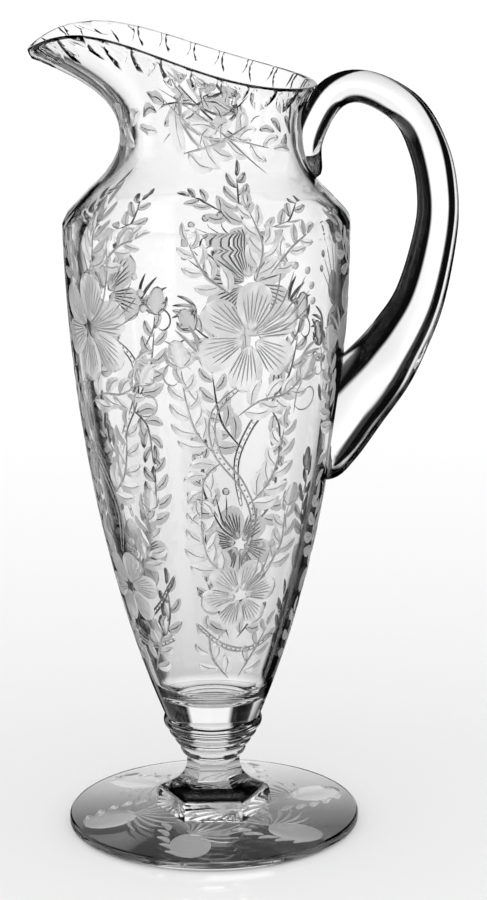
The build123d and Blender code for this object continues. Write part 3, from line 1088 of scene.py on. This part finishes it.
def hollow_rows(rim):
    """Rows of points over the rounded rim, down the hollow and across its floor."""
    rows = []
    for share in (0.12, 0.3, 0.5, 0.7, 0.88):
        row = []
        for k, angle in enumerate(angles):
            outer_top = outer_at(angle, outer_edge[k])
            outer_top.z = max(rim_z(outer_top.x), outer_top.z)
            inner_top = inner_at(angle, inner_edge[k])
            end = inner_at(angle, inner_edge[k] - RIM_ROUND)
            row.append(Vector([bezier([s, o, o, i, i, e], share)
                               for s, o, i, e in zip(rim[k], outer_top, inner_top, end)]))
        rows.append(row)
    for j in range(NECK_ROWS):
        share = 1 - j / NECK_ROWS
        rows.append([inner_at(a, throat_z + share * (inner_edge[k] - RIM_ROUND - throat_z))
                     for k, a in enumerate(angles)])
    floor_z = BOWL_BASE + FLOOR_THICKNESS
    wall_foot = inner_at(0, floor_z).x
    wall_lean = atan((inner_at(0, floor_z + 8).x - wall_foot) / 8)
    reach = FLOOR_ROUND * tan((pi / 2 - wall_lean) / 2)
    z = throat_z
    while z > floor_z + reach * cos(wall_lean) + 1:
        rows.append([inner_at(a, z) for a in angles])
        z -= 2.0 if z > shoulder_z - 6 else 4.5
    floor_r = wall_foot - reach
    outline = []
    for j in range(FLOOR_STEPS + 1):
        turn = (pi / 2 - wall_lean) * (1 - j / FLOOR_STEPS)
        outline.append((floor_r + FLOOR_ROUND * sin(turn), floor_z + FLOOR_ROUND * (1 - cos(turn))))
    outline += [(floor_r * 0.66, floor_z), (floor_r * 0.33, floor_z)]
    return rows + [[Vector((r * cos(a), r * sin(a), h)) for a in angles] for r, h in outline]


def make_bowl(loops, cuts):
    """The whole bowl: its carved wall, its rim and hollow, and its seat on the knop."""
    points, bases, faces, slots, normals, (seat, rim) = carve(loops, cuts)
    first = len(faces)
    rows = [rim]
    for row in hollow_rows([points[k] for k in rim]):
        rows.append(list(range(len(points), len(points) + COLUMNS)))
        points.extend(row)
    for upper, lower in zip(rows, rows[1:]):
        faces += band(upper, lower)
    faces += fan(rows[-1], len(points))
    points.append(Vector((0, 0, BOWL_BASE + FLOOR_THICKNESS)))
    slots += [CLEAR_SLOT] * (len(faces) - first)
    # smooth normals of the rim and the hollow, from the faces round each point
    total = {}
    for face in faces[first:]:
        a, b, c = (points[k] for k in face[:3])
        across = (b - a).cross(points[face[-1]] - a)
        for k in face:
            total[k] = total.get(k, Vector()) + across
    rim_set = set(rim)
    normals += [bases[k] if k in rim_set else total[k].normalized()
                for face in faces[first:] for k in face]
    faces += fan(seat[::-1], len(points))
    points.append(Vector((0, 0, BOWL_BASE)))
    slots += [FUSED_SLOT] * COLUMNS
    normals += [Vector((0, 0, -1))] * (3 * COLUMNS)
    return make_piece("blown_bowl", points, faces, slots, normals)


handle_joints = joint_loops(handle)
bowl = make_bowl(handle_joints, engraving(handle_joints) + thumbprints())
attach(bowl, "root")
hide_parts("bowl")

# Table and light: a glossy white table with white cards and black gaps standing round it. They
# show only in and through the glass, whose dark edges are the black gaps and its painted edge
# shade. Everything else sees plain white.

TABLE_SIZE = 12.0
TABLE_DROP = 0.0004
TABLE_SHADE = 0.93
TABLE_ROUGHNESS = 0.03
TABLE_LIFT = 0.2
TABLE_GLOW = 1.12
# painted shadow of the foot: its span from front to back, and the distances over which it fades
FOOT_SHADOW_SPAN = 0.065
FOOT_SHADOW_FADE = (0.062, 0.10)
CARD_EDGE = 3.5
CARDS = ((-180.0, 9.0), (-45.0, 14.0), (88.0, 15.0), (137.0, 6.0), (180.0, 9.0))
CARD_DARK = 0.004
WHITE = (1, 1, 1, 1)


def around_cards(tree, x, y):
    """The cards' shade in a compass direction; each card has a middle and a half width in degrees."""
    compass = add(tree, "ShaderNodeMath", {0: y, 1: x}, operation="ARCTAN2")
    share = add(tree, "ShaderNodeMath", {0: compass.outputs[0], 1: 0.5 / pi, 2: 0.5},
                operation="MULTIPLY_ADD")
    cards = add(tree, "ShaderNodeValToRGB", {"Fac": share.outputs[0]})
    stops = []
    for middle, half in CARDS:
        for side, shade in ((-half - CARD_EDGE, CARD_DARK), (-half, 1.0),
                            (half, 1.0), (half + CARD_EDGE, CARD_DARK)):
            stop = (middle + side + 180.0) / 360.0
            if 0.0 <= stop <= 1.0:
                stops.append((stop, shade))
    for stop, shade in sorted(stops):
        cards.color_ramp.elements.new(stop).color = (shade, shade, shade, 1)
    cards.color_ramp.elements[0].color = cards.color_ramp.elements[-1].color = WHITE
    return cards.outputs["Color"]


def bent_rays(tree):
    """1 for a ray that has been through glass or off it, else 0."""
    rays = add(tree, "ShaderNodeLightPath", {})
    bent = add(tree, "ShaderNodeMath", {0: rays.outputs["Is Glossy Ray"],
                                        1: rays.outputs["Is Transmission Ray"]}, operation="MAXIMUM")
    return bent.outputs[0]


bpy.ops.mesh.primitive_plane_add(size=TABLE_SIZE, location=(0, 0, -TABLE_DROP))
table = bpy.context.object
table.name = "table"
white = bpy.data.materials.new("white_table")
white.use_nodes = True
tree = white.node_tree
tree.nodes.remove(tree.nodes["Principled BSDF"])
matt = add(tree, "ShaderNodeBsdfDiffuse", {"Color": (TABLE_SHADE, TABLE_SHADE, TABLE_SHADE, 1)})
gloss = add(tree, "ShaderNodeBsdfGlossy", {"Roughness": TABLE_ROUGHNESS})
shine = add(tree, "ShaderNodeLayerWeight", {"Blend": 0.5})
coated = add(tree, "ShaderNodeMixShader", {0: shine.outputs["Fresnel"], 1: matt.outputs[0],
                                           2: gloss.outputs[0]})
lift = add(tree, "ShaderNodeEmission", {"Color": WHITE, "Strength": TABLE_LIFT})
lit = add(tree, "ShaderNodeAddShader", {0: coated.outputs[0], 1: lift.outputs[0]})
# seen through the glass the table glows: white strips towards the cards, with a painted shadow
# that darkens it near the pitcher and most under the front of the foot
place = add(tree, "ShaderNodeTexCoord", {}).outputs["Object"]
split = add(tree, "ShaderNodeSeparateXYZ", {0: place})
distance = add(tree, "ShaderNodeVectorMath", {0: place}, operation="LENGTH").outputs["Value"]
# painted shade: the strips are dimmed near the pitcher, fading out over a metre
strips_with_painted_shade = add(tree, "ShaderNodeMix", {
    "Factor": 1.0, "A": around_cards(tree, split.outputs["X"], split.outputs["Y"]),
    "B": grey_ramp(tree, distance, [(0.0, 0.55), (0.3, 0.75), (1.0, 1.0)])},
    data_type="RGBA", blend_type="MULTIPLY")
# painted shadow of the foot: dark under its front, growing lighter towards its back
depth = add(tree, "ShaderNodeMapRange", {"Value": split.outputs["Y"], 1: -FOOT_SHADOW_SPAN, 2: FOOT_SHADOW_SPAN})
painted_foot_shadow = grey_ramp(tree, depth.outputs[0], [(0.0, 0.04), (0.35, 0.10), (0.7, 0.62), (1.0, 1.0)])
edge = add(tree, "ShaderNodeMapRange", {"Value": distance, 1: FOOT_SHADOW_FADE[0], 2: FOOT_SHADOW_FADE[1]})
through = add(tree, "ShaderNodeMix", {"Factor": edge.outputs[0], "A": painted_foot_shadow,
                                      "B": strips_with_painted_shade.outputs["Result"]}, data_type="RGBA")
glow = add(tree, "ShaderNodeEmission", {"Color": through.outputs["Result"], "Strength": TABLE_GLOW})
whole = add(tree, "ShaderNodeMixShader", {0: bent_rays(tree), 1: lit.outputs[0], 2: glow.outputs[0]})
join(tree, tree.nodes["Material Output"], {"Surface": whole.outputs[0]})
table.data.materials.append(white)

world = bpy.data.worlds.new("studio")
bpy.context.scene.world = world
world.use_nodes = True
tree = world.node_tree
place = add(tree, "ShaderNodeTexCoord", {}).outputs["Generated"]
split = add(tree, "ShaderNodeSeparateXYZ", {0: place})
seen = add(tree, "ShaderNodeMix", {
    "Factor": 1.0, "A": around_cards(tree, split.outputs["X"], split.outputs["Y"]),
    "B": grey_ramp(tree, split.outputs["Z"], [(0.0, 1.0), (0.2, 1.0), (0.34, CARD_DARK)])},
    data_type="RGBA", blend_type="MULTIPLY")
sky = add(tree, "ShaderNodeMix", {"Factor": bent_rays(tree), "A": WHITE,
                                  "B": seen.outputs["Result"]}, data_type="RGBA")
join(tree, tree.nodes["Background"], {"Color": sky.outputs["Result"]})

# Camera: in front of the pitcher and a little above, fitted to the foot's ellipse and the axis.

CAMERA_OFFSET = 13.8
CAMERA_DISTANCE = 1200.0
CAMERA_HEIGHT = 467.1
CAMERA_PITCH = radians(14.45)
CAMERA_ROLL = radians(0.58)
CAMERA_LENS = 122.5

camera_data = bpy.data.cameras.new("camera")
camera_data.lens = CAMERA_LENS
camera_data.sensor_width = 36.0
camera_data.clip_start = 0.05
camera = bpy.data.objects.new("camera", camera_data)
bpy.context.collection.objects.link(camera)
camera.location = Vector((CAMERA_OFFSET, -CAMERA_DISTANCE, CAMERA_HEIGHT)) * MM
camera.rotation_euler = (Matrix.Rotation(pi / 2 - CAMERA_PITCH, 3, "X")
                         @ Matrix.Rotation(-CAMERA_ROLL, 3, "Z")).to_euler()
bpy.context.scene.camera = camera
bpy.context.scene.view_settings.view_transform = "Standard"
